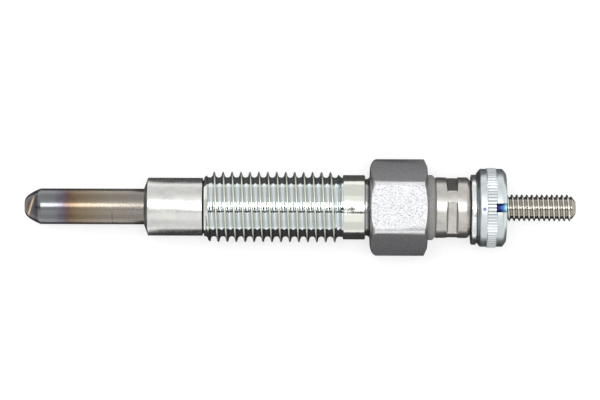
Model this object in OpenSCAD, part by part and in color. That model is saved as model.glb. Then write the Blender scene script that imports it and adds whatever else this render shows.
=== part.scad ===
// Diesel glow plug: sheathed heater, threaded housing and screw terminal.
// The axis runs along X, the glowing tip points to -X and two hex flats face up and down.
// The origin is on the axis at the front end of the housing thread.

/* [Sheath] */
// Outside diameter of the heater sheath
sheath_d = 5.0; // [4.7:0.05:5.3]
// Wall of the sheath tube
sheath_wall = 0.6; // [0.5:0.05:0.7]
// Length of sheath in front of the seat
sheath_reach = 16.7; // [14:0.1:22]
// Length of sheath pressed into the housing
sheath_grip = 14.5; // [12:0.5:17]
// Diameter of the small flat at the very tip
tip_flat_d = 1.7; // [1:0.1:2.2]
// Radius that rounds the tip flat into the cone
tip_round = 0.7; // [0.4:0.05:0.9]
// Half angle of the tip cone
tip_angle = 28; // [22:1:35]
// Thickness of the closed end
tip_floor = 1.1; // [0.8:0.1:1.6]

/* [Housing] */
// Diameter of the plain nose behind the seat
nose_d = 8.1; // [7.6:0.05:8.4]
// Length of the plain nose
nose_len = 7.6; // [5:0.1:10]
// Half angle of the conical seat
seat_angle = 70; // [55:1:75]
// Width of the flat rim round the sheath, inside the seat
seat_rim = 0.08; // [0.04:0.01:0.15]
// Width of the groove between nose and thread
groove_w = 0.26; // [0.2:0.02:0.6]
// Diameter at the bottom of that V-shaped groove
groove_d = 7.3; // [7:0.05:7.5]
// Outside diameter of the housing thread
thread_d = 9.8; // [9.7:0.01:9.97]
// Length of the housing thread
thread_len = 19.35; // [17:0.05:24]
// Pitch of the housing thread
thread_pitch = 1.25; // [1:0.05:1.5]
// Diameter at the root of the housing thread
thread_root_d = 8.24; // [8.2:0.02:8.5]
// Diameter of the core inside the housing thread
thread_core_d = 7.7; // [7.6:0.05:7.8]
// Turn at which the housing thread starts
thread_turn = 150; // [0:1:360]
// Length over which the thread rises at its front end and runs out at its back end
thread_lead = 0.9; // [0.4:0.05:1.2]
// Gap between the end of the thread and the shoulder
thread_relief = 0.15; // [0.1:0.05:0.4]
// Diameter of the shoulder behind the thread
shoulder_d = 9.0; // [8.7:0.05:9.4]
// Length of the shoulder
shoulder_len = 3.1; // [2:0.1:5]
// Bevel on the back edge of the shoulder
shoulder_bevel = 0.2; // [0.1:0.05:0.4]
// Diameter of the undercut neck
neck_d = 7.9; // [7.7:0.05:8.2]
// Length of the undercut neck
neck_len = 0.65; // [0.5:0.05:1.2]
// Rounding between the neck and the front of the hex
neck_round = 0.5; // [0.2:0.05:0.5]
// Width across the flats of the hex
hex_af = 11.9; // [11.73:0.01:12]
// Diameter to which the corners of the hex are turned
hex_corner_d = 13.5; // [13:0.05:13.6]
// Length of the hex
hex_len = 8.0; // [6:0.1:10]
// Axial length of the rounded front end of the hex
hex_round_len = 0.95; // [0.5:0.05:1.2]
// Diameter where the rounded front end of the hex starts
hex_face_d = 10.2; // [9.5:0.1:11]
// Axial length of the bevel at the back end of the hex
hex_bevel_len = 0.45; // [0.3:0.05:0.7]
// Diameter where the bevel at the back end of the hex starts
hex_back_d = 11.5; // [10.8:0.1:11.8]
// Diameter of the long bore round the rod
bore_d = 4.6; // [4.5:0.05:4.65]
// Diameter of the seal chamber in the hex
chamber_d = 6.8; // [6.4:0.1:7.2]
// Depth of the seal chamber
chamber_depth = 4.5; // [3.8:0.1:6]

/* [Heater] */
// Wire diameter of the heating coil
heating_wire_d = 0.36; // [0.3:0.02:0.4]
// Number of turns of the heating coil
heating_turns = 8; // [5:1:9]
// Length of the heating coil
heating_len = 6.4; // [5.4:0.1:7.5]
// Wire diameter of the control coil
control_wire_d = 0.32; // [0.28:0.02:0.36]
// Number of turns of the control coil
control_turns = 13; // [10:1:15]
// Length of the control coil
control_len = 11.6; // [10:0.1:13]
// Diameter of both coils at the middle of the wire
coil_d = 2.4; // [2.2:0.05:2.6]
// Length of the straight wire between the closed end and the first turn
coil_tail = 0.5; // [0.4:0.05:0.8]
// Length of the seal ring in the open end of the sheath
seal_t = 2.2; // [1.5:0.1:3]

/* [Centre rod] */
// Length of the pin that carries the end of the control coil
rod_pin_len = 1.8; // [1.2:0.1:2.4]
// Diameter of the rod inside the sheath
rod_inner_d = 2.8; // [2.6:0.05:3]
// Diameter of the rod inside the housing
rod_d = 3.5; // [3.3:0.05:3.6]
// Outside diameter of the terminal thread
stud_d = 3.86; // [3.84:0.01:3.98]
// Pitch of the terminal thread
stud_pitch = 0.7; // [0.5:0.05:0.8]
// Diameter at the root of the terminal thread
stud_root_d = 3.0; // [2.95:0.05:3.2]
// Diameter of the core inside the terminal thread
stud_core_d = 2.86; // [2.7:0.02:2.88]
// Length of the terminal thread inside the collar
stud_hidden = 0.9; // [0.5:0.1:2]
// Free length of the terminal thread outside the nut
stud_free = 9.75; // [7:0.05:14]
// Length of the cone at the end of the stud
stud_cone = 0.85; // [0.5:0.05:1.2]
// Diameter of the small flat at the end of the stud
stud_tip_d = 1.75; // [1.2:0.05:2.4]
// Length of the step from the rod to the terminal thread
stud_step = 0.3; // [0.1:0.05:0.6]

/* [Insulating bush] */
// Diameter of the visible ring
flange_d = 9.1; // [8.6:0.05:9.8]
// Thickness of the visible ring
flange_t = 1.1; // [0.9:0.05:1.6]
// Bevel on the outer edge of the ring
flange_bevel = 0.38; // [0.2:0.02:0.6]

/* [Crimp collar] */
// Diameter of the collar
collar_d = 8.5; // [8.1:0.05:9]
// Length of the collar
collar_len = 5.0; // [4:0.1:7]
// Bevel on the front edge of the collar
collar_bevel = 0.22; // [0.1:0.02:0.4]
// Axial length of the rounded back edge
collar_round_len = 0.5; // [0.3:0.05:0.8]
// Radial depth of the rounded back edge
collar_round_depth = 0.95; // [0.5:0.05:1.2]
// Width of a crimp pad along the collar
pad_w = 1.45; // [1:0.05:2.2]
// Depth of a crimp pad at its middle
pad_depth = 0.72; // [0.4:0.02:0.9]
// Number of crimp pads
pad_count = 4; // [3:1:6]
// Turn of the first pad from the upward direction
pad_turn = 22; // [0:1:90]

/* [Washer and nut] */
// Outside diameter of the washer
washer_d = 9.8; // [9:0.1:10.5]
// Hole in the washer
washer_hole_d = 4.5; // [4.5:0.05:4.8]
// Thickness of the washer
washer_t = 0.75; // [0.6:0.05:1]
// Rounding of the stamped edges of the washer
washer_edge = 0.15; // [0.08:0.01:0.25]
// Distance the loose washer has slipped sideways
washer_slip = 0.28; // [0:0.02:0.29]
// Diameter of the nut
nut_d = 10.9; // [10.4:0.05:11.4]
// Length of the nut
nut_len = 4.15; // [3.6:0.05:5]
// Axial length of the bevels at both ends of the nut
nut_bevel_len = 0.5; // [0.3:0.05:0.7]
// Radial depth of the bevels at both ends of the nut
nut_bevel_depth = 0.65; // [0.3:0.05:0.9]
// Distance from the inner face of the nut to the knurled band
knurl_start = 1.35; // [1:0.05:1.5]
// Width of the knurled band
knurl_w = 1.45; // [1:0.05:1.6]
// Height of the knurl above the nut
knurl_h = 0.12; // [0.06:0.01:0.2]
// Number of ribs in the knurl
knurl_ribs = 72; // [48:2:80]
// Width of the two driver notches in the rim of the nut
slot_w = 1.2; // [0.8:0.1:1.6]
// Depth of the notches along the nut
slot_depth = 1.35; // [0.8:0.05:1.35]
// Diameter that the notches leave whole round the stud
slot_core_d = 6.4; // [6:0.1:8]
// Countersink at both ends of the nut's thread
nut_sink = 0.3; // [0.1:0.05:0.5]

/* [Fits] */
// Radial room of pieces that are pressed or packed together
press_gap = 0.02; // [0.01:0.01:0.03]
// Radial room of pieces that slide over the stud or into the chamber
slip_gap = 0.03; // [0.02:0.01:0.06]
// Radial room of the nut on the terminal thread
nut_gap = 0.05; // [0.03:0.01:0.08]

/* [Hidden] */

// Smoothness of turned pieces, and sides and steps of the coil wire
$fn = 96;
wire_sides = 6;
turn_steps = 12;
arc_steps = 8;
// Sides of one turn of each thread, and places along a pitch of the foot and the crest of its ridge
thread_sides = 24;
stud_sides = 16;
ridge_places = [0.22, 0.46, 0.54, 0.78];
ridge_heights = [0, 1, 1, 0];
// Small overlap that keeps cuts clean
over = 0.1;

// Places along the axis, from the tip to the end of the stud
x_nose_end = -groove_w;
x_nose = x_nose_end - nose_len;
sheath_hole_d = sheath_d + 2 * press_gap;
seat_rim_d = sheath_hole_d + 2 * seat_rim;
x_seat = x_nose - (nose_d - seat_rim_d) / 2 / tan(seat_angle);
x_tip = x_seat - sheath_reach;
x_sheath_end = x_seat + sheath_grip;
x_shoulder = thread_len;
x_neck = x_shoulder + shoulder_len;
x_hex = x_neck + neck_len;
x_hex_end = x_hex + hex_len;
x_chamber = x_hex_end - chamber_depth;
x_flange_end = x_hex_end + flange_t;
x_collar_end = x_flange_end + collar_len;
x_washer_end = x_collar_end + washer_t;
x_nut_end = x_washer_end + nut_len;
x_stud_end = x_nut_end + stud_free;
x_stud_cone = x_stud_end - stud_cone;
x_stud_thread = x_collar_end - stud_hidden;

// Tip cone of the sheath: where it leaves the rounding and where it meets the full diameter
cone_d = tip_flat_d + 2 * tip_round * cos(tip_angle);
x_cone = x_tip + tip_round * (1 - sin(tip_angle));
x_full = x_cone + (sheath_d - cone_d) / 2 / tan(tip_angle);

// Inside of the sheath, and the coils in it
sheath_bore_d = sheath_d - 2 * sheath_wall;
x_floor = x_tip + tip_floor;
x_coil_join = x_floor + heating_len;
x_coil_end = x_coil_join + control_len;
x_pin = x_coil_end - rod_pin_len;
x_tail = x_floor + coil_tail;
tail_r = coil_d / 4;
heating_steps = heating_turns * turn_steps;
control_steps = control_turns * turn_steps;
x_rod_inner = x_coil_end + control_wire_d;
rod_pin_d = (coil_d - control_wire_d) * cos(180 / turn_steps) - 2 * press_gap;
x_seal = x_sheath_end - seal_t;

// O-ring that fills the chamber between rod and housing
ring_wire_d = (chamber_d - rod_d) / 2 - 2 * slip_gap;
ring_mid_d = (chamber_d + rod_d) / 2;
x_bush = x_chamber + ring_wire_d;

// Points of a quarter of an ellipse round c, from angle a to angle b
function arc(c, rx, ry, a, b) =
    [for (i = [0 : arc_steps]) let (t = a + (b - a) * i / arc_steps) c + [rx * cos(t), ry * sin(t)]];

// Solid turned from an outline of [radius, place along the axis]
module turned(outline) {
    rotate([0, 90, 0])
        rotate_extrude()
            polygon(outline);
}

// Round bar or hole between two places along the axis
module bar(d, from, to) {
    translate([from, 0, 0])
        rotate([0, 90, 0])
            cylinder(d = d, h = to - from);
}

// Ring that is cut out of or laid round a bar
module tube(d, hole_d, from, to) {
    difference() {
        bar(d, from, to);
        bar(hole_d, from - over, to + over);
    }
}

// Coil wire along points given as [place along the axis, distance from it, turn]
function place(p) = [p[0], p[1] * cos(p[2]), p[1] * sin(p[2])];
function unit(v) = v / norm(v);
function heading(path, i) =
    unit(place(path[min(i + 1, len(path) - 1)]) - place(path[max(i - 1, 0)]));
function outward(p, way) =
    let (v = [0, cos(p[2]), sin(p[2])]) unit(v - (v * way) * way);
function ring(path, i, d) =
    let (way = heading(path, i), out = outward(path[i], way), side = cross(way, out))
    [for (k = [0 : wire_sides - 1])
        let (t = 360 * k / wire_sides) place(path[i]) + d / 2 * (out * cos(t) + side * sin(t))];

module wire(path, d) {
    rings = len(path);
    points = [for (i = [0 : rings - 1]) each ring(path, i, d)];
    sides = [for (i = [0 : rings - 2], k = [0 : wire_sides - 1])
        let (a = i * wire_sides, b = a + wire_sides, n = (k + 1) % wire_sides)
        each [[a + k, b + k, b + n], [a + k, b + n, a + n]]];
    start = [for (k = [0 : wire_sides - 1]) k];
    finish = [for (k = [wire_sides - 1 : -1 : 0]) (rings - 1) * wire_sides + k];
    polyhedron(points = points, faces = concat([start], sides, [finish]));
}

// Two triangles that fill a field of four corners, and triangles from a centre to a closed line of points
function field(a, b, c, d) = [[a, b, c], [a, c, d]];
function fan(centre, line) =
    [for (j = [0 : len(line) - 1]) [centre, line[j], line[(j + 1) % len(line)]]];

// Right-hand thread as a faceted bar round a core. Four rows of points follow the helix, at the two feet and
// the two edges of the crest, and the ridge rises and runs out under a cone at each end.
module thread_bar(pitch, root_d, crest_d, from, to, rise, runout, turn, sides) {
    rows = len(ridge_places);
    last = floor((to - from - pitch) / pitch * sides);
    function along(i, k) = from + pitch * (i / sides + ridge_places[k]);
    function height(x, k) = max(0, min(ridge_heights[k], (x - from) / rise, (to - x) / runout));
    function radius(x, k) = (root_d + (crest_d - root_d) * height(x, k)) / 2;
    grid = [for (i = [0 : last], k = [0 : rows - 1])
        let (x = along(i, k)) place([x, radius(x, k), turn + 360 * i / sides])];
    ridge = [for (i = [0 : last - 1], k = [0 : rows - 2])
        let (a = i * rows + k) each field(a, a + 1, a + rows + 1, a + rows)];
    root = [for (i = [0 : last - sides - 1])
        let (a = i * rows + rows - 1, b = (i + sides) * rows) each field(a, b, b + rows, a + rows)];
    first_edge = concat([for (i = [0 : sides]) i * rows], [for (k = [rows - 1 : -1 : 1]) k]);
    last_edge = concat(
        [for (k = [0 : rows - 2]) last * rows + k],
        [for (i = [last : -1 : last - sides]) i * rows + rows - 1]
    );
    ends = [[from + pitch / 2, 0, 0], [to - pitch / 2, 0, 0]];
    polyhedron(
        points = concat(grid, ends),
        faces = concat(ridge, root, fan(len(grid), first_edge), fan(len(grid) + 1, last_edge))
    );
}

// Both coils follow one line: a straight tail, a first turn that opens out, then turns of full size
function coil_point(i) =
    let (past = i - heating_steps)
    [
        past < 0 ? x_coil_join + (x_coil_join - x_tail) * past / heating_steps
            : x_coil_join + control_len * past / control_steps,
        tail_r + (coil_d / 2 - tail_r) * min(1, i / turn_steps),
        360 * i / turn_steps
    ];
function coil_path(from, to) = [for (i = [from : to]) coil_point(i)];
function tailed_path(tail_x, to) = concat([[tail_x, tail_r, 0]], coil_path(0, to));

// The six-sided bar of the hex, with flats facing up and down
module hex_bar() {
    translate([x_hex, 0, 0])
        rotate([0, 90, 0])
            rotate([0, 0, 30])
                cylinder(d = hex_af / cos(30), h = hex_len, $fn = 6);
}

// The turned outline that rounds the front corners of the hex and bevels the back ones
module hex_turning() {
    corner_r = hex_corner_d / 2;
    face_r = hex_face_d / 2;
    turned(concat(
        [[0, x_hex]],
        arc([face_r, x_hex + hex_round_len], corner_r - face_r, hex_round_len, -90, 0),
        [
            [corner_r, x_hex_end - hex_bevel_len],
            [hex_back_d / 2, x_hex_end],
            [0, x_hex_end]
        ]
    ));
}

// Nose, seat, groove, core of the thread, shoulder and neck as one turned outline
module housing_turning() {
    turned(concat(
        [
            [0, x_seat],
            [seat_rim_d / 2, x_seat],
            [nose_d / 2, x_nose],
            [nose_d / 2, x_nose_end],
            [groove_d / 2, x_nose_end / 2],
            [thread_core_d / 2, 0],
            [thread_core_d / 2, x_shoulder],
            [shoulder_d / 2, x_shoulder],
            [shoulder_d / 2, x_neck - shoulder_bevel],
            [shoulder_d / 2 - shoulder_bevel, x_neck],
            [neck_d / 2, x_neck]
        ],
        arc([neck_d / 2 + neck_round, x_hex - neck_round], neck_round, neck_round, 180, 90),
        [
            [neck_d / 2 + neck_round, x_hex + over],
            [0, x_hex + over]
        ]
    ));
}

module housing() {
    color("gainsboro")
        difference() {
            union() {
                housing_turning();
                thread_bar(
                    thread_pitch, thread_root_d, thread_d, 0, x_shoulder - thread_relief,
                    thread_lead, thread_lead, thread_turn, thread_sides
                );
                intersection() {
                    hex_bar();
                    hex_turning();
                }
            }
            bar(sheath_hole_d, x_seat - over, x_sheath_end);
            bar(bore_d, x_seat, x_hex_end);
            bar(chamber_d, x_chamber, x_hex_end + over);
        }
}

// Hollow of the sheath up to a place along the axis, with a cone that follows the tip
module sheath_hollow(gap, to) {
    hollow_r = sheath_bore_d / 2 - gap;
    // The wall is as thick in the cone as in the tube
    cone_wall = (sheath_wall + gap) / cos(tip_angle);
    floor_x = x_floor + gap;
    floor_r = cone_d / 2 + (floor_x - x_cone) * tan(tip_angle) - cone_wall;
    turned([
        [0, floor_x],
        [floor_r, floor_x],
        [hollow_r, floor_x + (hollow_r - floor_r) / tan(tip_angle)],
        [hollow_r, to],
        [0, to]
    ]);
}

// Closed tube with a coned and rounded tip
module sheath_tube() {
    color("rosybrown")
        difference() {
            turned(concat(
                [[0, x_tip]],
                arc([tip_flat_d / 2, x_tip + tip_round], tip_round, tip_round, -90, -tip_angle),
                [
                    [sheath_d / 2, x_full],
                    [sheath_d / 2, x_sheath_end],
                    [0, x_sheath_end]
                ]
            ));
            sheath_hollow(0, x_sheath_end + over);
        }
}

module heating_coil() {
    color("dimgray")
        wire(tailed_path(x_floor, heating_steps), heating_wire_d);
}

module control_coil() {
    color("darkgray")
        wire(coil_path(heating_steps, heating_steps + control_steps), control_wire_d);
}

// Packed powder with a channel for the coils and a hole for the end of the rod
module magnesia_fill() {
    wire_d = max(heating_wire_d, control_wire_d);
    // The channel ends a turn inside the hole, and the hole clears the turns on the pin
    channel_steps = heating_steps + ceil(control_steps * (x_pin - x_coil_join) / control_len) + turn_steps;
    hole_d = max(rod_inner_d + 2 * press_gap, coil_d + wire_d + 4 * press_gap);
    color("ivory")
        difference() {
            sheath_hollow(press_gap, x_seal);
            wire(tailed_path(x_floor - over, channel_steps), wire_d + 2 * press_gap);
            bar(hole_d, x_pin - press_gap, x_seal + over);
        }
}

module sheath_seal() {
    color("firebrick")
        tube(sheath_bore_d - 2 * press_gap, rod_inner_d + 2 * press_gap, x_seal, x_sheath_end);
}

// One rod from the control coil to the end of the terminal thread
module centre_rod() {
    // Length along the end cone for each millimetre of radius
    cone_rate = stud_cone / (stud_d - stud_tip_d) * 2;
    thread_runout = (stud_d - stud_root_d) / 2 * cone_rate;
    color("tan")
        union() {
            turned([
                [0, x_pin],
                [rod_pin_d / 2, x_pin],
                [rod_pin_d / 2, x_rod_inner],
                [rod_inner_d / 2, x_rod_inner],
                [rod_inner_d / 2, x_sheath_end],
                [rod_d / 2, x_sheath_end],
                [rod_d / 2, x_hex_end - stud_step],
                [stud_d / 2, x_hex_end],
                [stud_d / 2, x_stud_thread - stud_step],
                [stud_core_d / 2, x_stud_thread],
                [stud_core_d / 2, x_stud_cone + (stud_d - stud_core_d) / 2 * cone_rate],
                [stud_tip_d / 2, x_stud_end],
                [0, x_stud_end]
            ]);
            thread_bar(
                stud_pitch, stud_root_d, stud_d, x_stud_thread, x_stud_cone + thread_runout,
                stud_pitch, thread_runout, 0, stud_sides
            );
        }
}

module o_ring() {
    color("black")
        translate([x_chamber + ring_wire_d / 2, 0, 0])
            rotate([0, 90, 0])
                rotate_extrude()
                    translate([ring_mid_d / 2, 0])
                        circle(d = ring_wire_d, $fn = 48);
}

// Grey ring with a spigot that closes the chamber
module insulating_bush() {
    hole_r = stud_d / 2 + slip_gap;
    spigot_r = chamber_d / 2 - slip_gap;
    color("gray")
        turned([
            [hole_r, x_bush],
            [spigot_r, x_bush],
            [spigot_r, x_hex_end],
            [flange_d / 2, x_hex_end],
            [flange_d / 2, x_flange_end - flange_bevel],
            [flange_d / 2 - flange_bevel, x_flange_end],
            [hole_r, x_flange_end]
        ]);
}

// Collar with flat pads left by the jaws that crimp it on the stud
module crimp_collar() {
    hole_r = stud_d / 2 + slip_gap;
    outer_r = collar_d / 2;
    pad_from = (x_flange_end + x_collar_end - pad_w) / 2;
    color("silver")
        difference() {
            turned(concat(
                [
                    [hole_r, x_flange_end],
                    [outer_r - collar_bevel, x_flange_end],
                    [outer_r, x_flange_end + collar_bevel]
                ],
                arc(
                    [outer_r - collar_round_depth, x_collar_end - collar_round_len],
                    collar_round_depth, collar_round_len, 0, 90
                ),
                [[hole_r, x_collar_end]]
            ));
            for (i = [0 : pad_count - 1])
                rotate([pad_turn + 360 * i / pad_count, 0, 0])
                    translate([pad_from, -outer_r, outer_r - pad_depth])
                        cube([pad_w, collar_d, collar_d]);
        }
}

// Stamped washer that has slipped sideways as far as the stud lets it
module plain_washer() {
    outer_r = washer_d / 2;
    hole_r = washer_hole_d / 2;
    color("whitesmoke")
        translate([0, -washer_slip, 0])
            turned(concat(
                [[hole_r, x_collar_end]],
                arc([outer_r - washer_edge, x_collar_end + washer_edge], washer_edge, washer_edge, -90, 0),
                arc([outer_r - washer_edge, x_washer_end - washer_edge], washer_edge, washer_edge, 0, 90),
                [[hole_r, x_washer_end]]
            ));
}

// Band of straight ribs that stands a little proud of the nut
module knurl_band() {
    root_r = nut_d / 2;
    crest_r = root_r + knurl_h;
    rib = 360 / knurl_ribs;
    // Shares of one rib's turn at which its flanks and its flat crest begin
    shares = [0, 0.2, 0.5, 0.7];
    translate([x_washer_end + knurl_start, 0, 0])
        rotate([0, 90, 0])
            linear_extrude(knurl_w)
                polygon([for (i = [0 : knurl_ribs - 1], k = [0 : 3])
                    let (r = k == 1 || k == 2 ? crest_r : root_r - knurl_h, t = rib * (i + shares[k]))
                    [r * cos(t), r * sin(t)]]);
}

module terminal_nut() {
    outer_r = nut_d / 2;
    hole_r = stud_d / 2 + nut_gap;
    color("lightsteelblue")
        difference() {
            union() {
                turned([
                    [0, x_washer_end],
                    [outer_r - nut_bevel_depth, x_washer_end],
                    [outer_r, x_washer_end + nut_bevel_len],
                    [outer_r, x_nut_end - nut_bevel_len],
                    [outer_r - nut_bevel_depth, x_nut_end],
                    [0, x_nut_end]
                ]);
                knurl_band();
            }
            turned([
                [0, x_washer_end - over],
                [hole_r + nut_sink, x_washer_end - over],
                [hole_r + nut_sink, x_washer_end],
                [hole_r, x_washer_end + nut_sink],
                [hole_r, x_nut_end - nut_sink],
                [hole_r + nut_sink, x_nut_end],
                [hole_r + nut_sink, x_nut_end + over],
                [0, x_nut_end + over]
            ]);
            difference() {
                translate([x_nut_end - slot_depth, -slot_w / 2, -nut_d])
                    cube([slot_depth + over, slot_w, 2 * nut_d]);
                bar(slot_core_d, x_washer_end, x_nut_end + 2 * over);
            }
        }
}

housing();
sheath_tube();
heating_coil();
control_coil();
magnesia_fill();
sheath_seal();
centre_rod();
o_ring();
insulating_bush();
crimp_collar();
plain_washer();
terminal_nut();
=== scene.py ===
import math

import bmesh
import bpy
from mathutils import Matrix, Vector


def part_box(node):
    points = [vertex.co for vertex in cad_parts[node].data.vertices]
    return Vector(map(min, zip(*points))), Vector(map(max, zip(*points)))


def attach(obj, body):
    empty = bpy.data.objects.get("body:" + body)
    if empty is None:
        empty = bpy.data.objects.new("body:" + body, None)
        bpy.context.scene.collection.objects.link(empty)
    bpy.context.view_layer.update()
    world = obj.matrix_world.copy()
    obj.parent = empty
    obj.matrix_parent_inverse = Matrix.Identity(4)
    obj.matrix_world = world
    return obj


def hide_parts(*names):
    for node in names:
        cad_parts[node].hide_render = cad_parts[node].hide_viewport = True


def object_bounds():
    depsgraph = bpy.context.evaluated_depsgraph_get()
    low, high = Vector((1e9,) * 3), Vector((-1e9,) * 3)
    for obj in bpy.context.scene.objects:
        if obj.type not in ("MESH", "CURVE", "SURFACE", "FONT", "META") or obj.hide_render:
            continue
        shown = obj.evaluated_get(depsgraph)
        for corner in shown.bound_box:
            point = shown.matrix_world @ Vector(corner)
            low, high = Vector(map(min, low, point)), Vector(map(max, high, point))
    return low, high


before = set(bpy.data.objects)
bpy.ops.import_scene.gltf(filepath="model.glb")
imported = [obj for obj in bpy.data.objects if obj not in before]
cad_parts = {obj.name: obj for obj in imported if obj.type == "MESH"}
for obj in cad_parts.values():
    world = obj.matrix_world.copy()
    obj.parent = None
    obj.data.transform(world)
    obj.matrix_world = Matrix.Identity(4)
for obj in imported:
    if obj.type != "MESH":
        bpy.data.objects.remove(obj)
cad_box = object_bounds()

# Heating coil and control coil: two resistance wires wound in series inside the tip. The front wire is
# welded to the closed end of the sheath and dulled by heat, the back one is nickel and ends on the rod.
mm = 0.001


def new_finish(name, metallic):
    """Starts a material. Returns it, its tree, its shader and the place on the piece in millimetres."""
    finish = bpy.data.materials.new(name)
    finish.use_nodes = True
    tree = finish.node_tree
    shader = tree.nodes["Principled BSDF"]
    shader.inputs["Metallic"].default_value = metallic
    place = tree.nodes.new("ShaderNodeTexCoord")
    in_mm = tree.nodes.new("ShaderNodeMapping")
    in_mm.inputs["Scale"].default_value = (1 / mm, 1 / mm, 1 / mm)
    tree.links.new(place.outputs["Object"], in_mm.inputs["Vector"])
    return finish, tree, shader, in_mm.outputs["Vector"]


def grain(tree, place, size, detail=2.0):
    """Noise whose grains measure about size = (x, y, z) millimetres."""
    drawn_out = tree.nodes.new("ShaderNodeMapping")
    drawn_out.inputs["Scale"].default_value = [1 / length for length in size]
    noise = tree.nodes.new("ShaderNodeTexNoise")
    noise.inputs["Scale"].default_value = 1.0
    noise.inputs["Detail"].default_value = detail
    tree.links.new(place, drawn_out.inputs["Vector"])
    tree.links.new(drawn_out.outputs["Vector"], noise.inputs["Vector"])
    return noise.outputs["Fac"]


def shades(tree, value, stops):
    """Colours along a value, from stops of (value, red, green, blue)."""
    node = tree.nodes.new("ShaderNodeValToRGB")
    elements = node.color_ramp.elements
    elements[0].position = stops[0][0]
    elements[1].position = stops[-1][0]
    for stop in stops[1:-1]:
        elements.new(stop[0])
    for element, stop in zip(elements, stops):
        element.color = (*stop[1:], 1)
    tree.links.new(value, node.inputs["Fac"])
    return node.outputs["Color"]


def spread(tree, value, start, end, low, high):
    """A value between start and end, spread to between low and high."""
    node = tree.nodes.new("ShaderNodeMapRange")
    node.inputs["From Min"].default_value = start
    node.inputs["From Max"].default_value = end
    node.inputs["To Min"].default_value = low
    node.inputs["To Max"].default_value = high
    tree.links.new(value, node.inputs["Value"])
    return node.outputs["Result"]


def relief(tree, shader, height, depth):
    """Lets a height stand out of the surface by a depth in millimetres."""
    node = tree.nodes.new("ShaderNodeBump")
    node.inputs["Distance"].default_value = depth * mm
    tree.links.new(height, node.inputs["Height"])
    tree.links.new(node.outputs["Normal"], shader.inputs["Normal"])


def mottled_finish(name, metallic, dark, light, roughness, size, depth):
    """A surface that varies from dark to light and in gloss, in grains of a size, with a fine relief."""
    finish, tree, shader, place = new_finish(name, metallic)
    mottling = grain(tree, place, size)
    tree.links.new(shades(tree, mottling, [(0.35, *dark), (0.65, *light)]), shader.inputs["Base Color"])
    tree.links.new(spread(tree, mottling, 0.3, 0.7, *roughness), shader.inputs["Roughness"])
    relief(tree, shader, mottling, depth)
    return finish


def coat_node(node, finish):
    """Gives a finish to a node that keeps its CAD mesh."""
    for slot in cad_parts[node].material_slots:
        slot.material = finish


heated_wire = mottled_finish(
    "heated_wire", 1.0, (0.10, 0.09, 0.09), (0.24, 0.21, 0.19), (0.35, 0.55), (0.1, 0.1, 0.1), 0.01
)
nickel_wire = mottled_finish(
    "nickel_wire", 1.0, (0.42, 0.40, 0.36), (0.60, 0.57, 0.52), (0.25, 0.4), (0.15, 0.15, 0.15), 0.005
)
coat_node("heating_coil", heated_wire)
coat_node("control_coil", nickel_wire)

# Powder fill, sheath seal and O-ring: magnesia is packed round the coils by drawing the sheath down over it,
# a silicone ring keeps damp out of its open end, and a rubber ring holds the gas back inside the hex.
packed_powder = mottled_finish(
    "packed_powder", 0.0, (0.72, 0.69, 0.62), (0.86, 0.84, 0.79), (0.85, 1.0), (0.08, 0.08, 0.08), 0.03
)
red_silicone = mottled_finish(
    "red_silicone", 0.0, (0.28, 0.05, 0.03), (0.36, 0.08, 0.05), (0.5, 0.65), (0.3, 0.3, 0.3), 0.01
)
black_rubber = mottled_finish(
    "black_rubber", 0.0, (0.012, 0.012, 0.012), (0.03, 0.03, 0.03), (0.45, 0.6), (0.2, 0.2, 0.2), 0.01
)
coat_node("magnesia_fill", packed_powder)
coat_node("sheath_seal", red_silicone)
coat_node("o_ring", black_rubber)

# Sheath tube: a drawn tube of heat-resistant alloy with a closed, coned and rounded tip. The glow has tinted
# it blue-grey near the tip and straw behind that, and its back end is pressed into the housing.
sheath_low, sheath_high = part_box("sheath_tube")
sheath_tip = sheath_low.x
sheath_end = sheath_high.x
sheath_r = sheath_high.z
sheath_wall = 0.6 * mm
tip_floor = 1.1 * mm
tip_slope = math.tan(math.radians(28))
tip_face_r = 0.98 * mm
bore_r = sheath_r - sheath_wall
floor_r = 1.17 * mm
bore_cone_back = sheath_tip + tip_floor + (bore_r - floor_r) / tip_slope
same_point = 0.1e-6


def pick_points(piece, wanted):
    """Selects the points of a piece that is being edited whose place is wanted."""
    bpy.ops.mesh.select_mode(type="VERT")
    bpy.ops.mesh.select_all(action="DESELECT")
    mesh = bmesh.from_edit_mesh(piece.data)
    for point in mesh.verts:
        if wanted(point.co):
            point.select_set(True)
    mesh.select_flush_mode()
    bmesh.update_edit_mesh(piece.data)


def draw_line(name, corners):
    """Draws a line in the XZ plane by pulling one point from corner to corner, and softens its corners.
    A corner is (x, radius) or (x, radius, softness), where softness is the length cut off on each side."""
    bpy.ops.object.select_all(action="DESELECT")
    bpy.ops.mesh.primitive_plane_add(size=mm)
    piece = bpy.context.object
    piece.name = name
    piece.data.name = name
    bpy.ops.object.mode_set(mode="EDIT")
    bpy.ops.mesh.select_mode(type="VERT")
    bpy.ops.mesh.select_all(action="SELECT")
    bpy.ops.mesh.merge(type="CENTER")
    bpy.ops.transform.translate(value=(corners[0][0], 0, corners[0][1]))
    for here, there in zip(corners, corners[1:]):
        step = (there[0] - here[0], 0, there[1] - here[1])
        bpy.ops.mesh.extrude_region_move(TRANSFORM_OT_translate={"value": step})
    bpy.ops.mesh.select_all(action="SELECT")
    bpy.ops.mesh.remove_doubles(threshold=same_point)
    for corner in corners:
        if len(corner) > 2:
            spot = Vector((corner[0], 0, corner[1]))
            pick_points(piece, lambda place: (place - spot).length < same_point)
            bpy.ops.mesh.bevel(offset=corner[2], segments=5, affect="VERTICES")
    return piece


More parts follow.
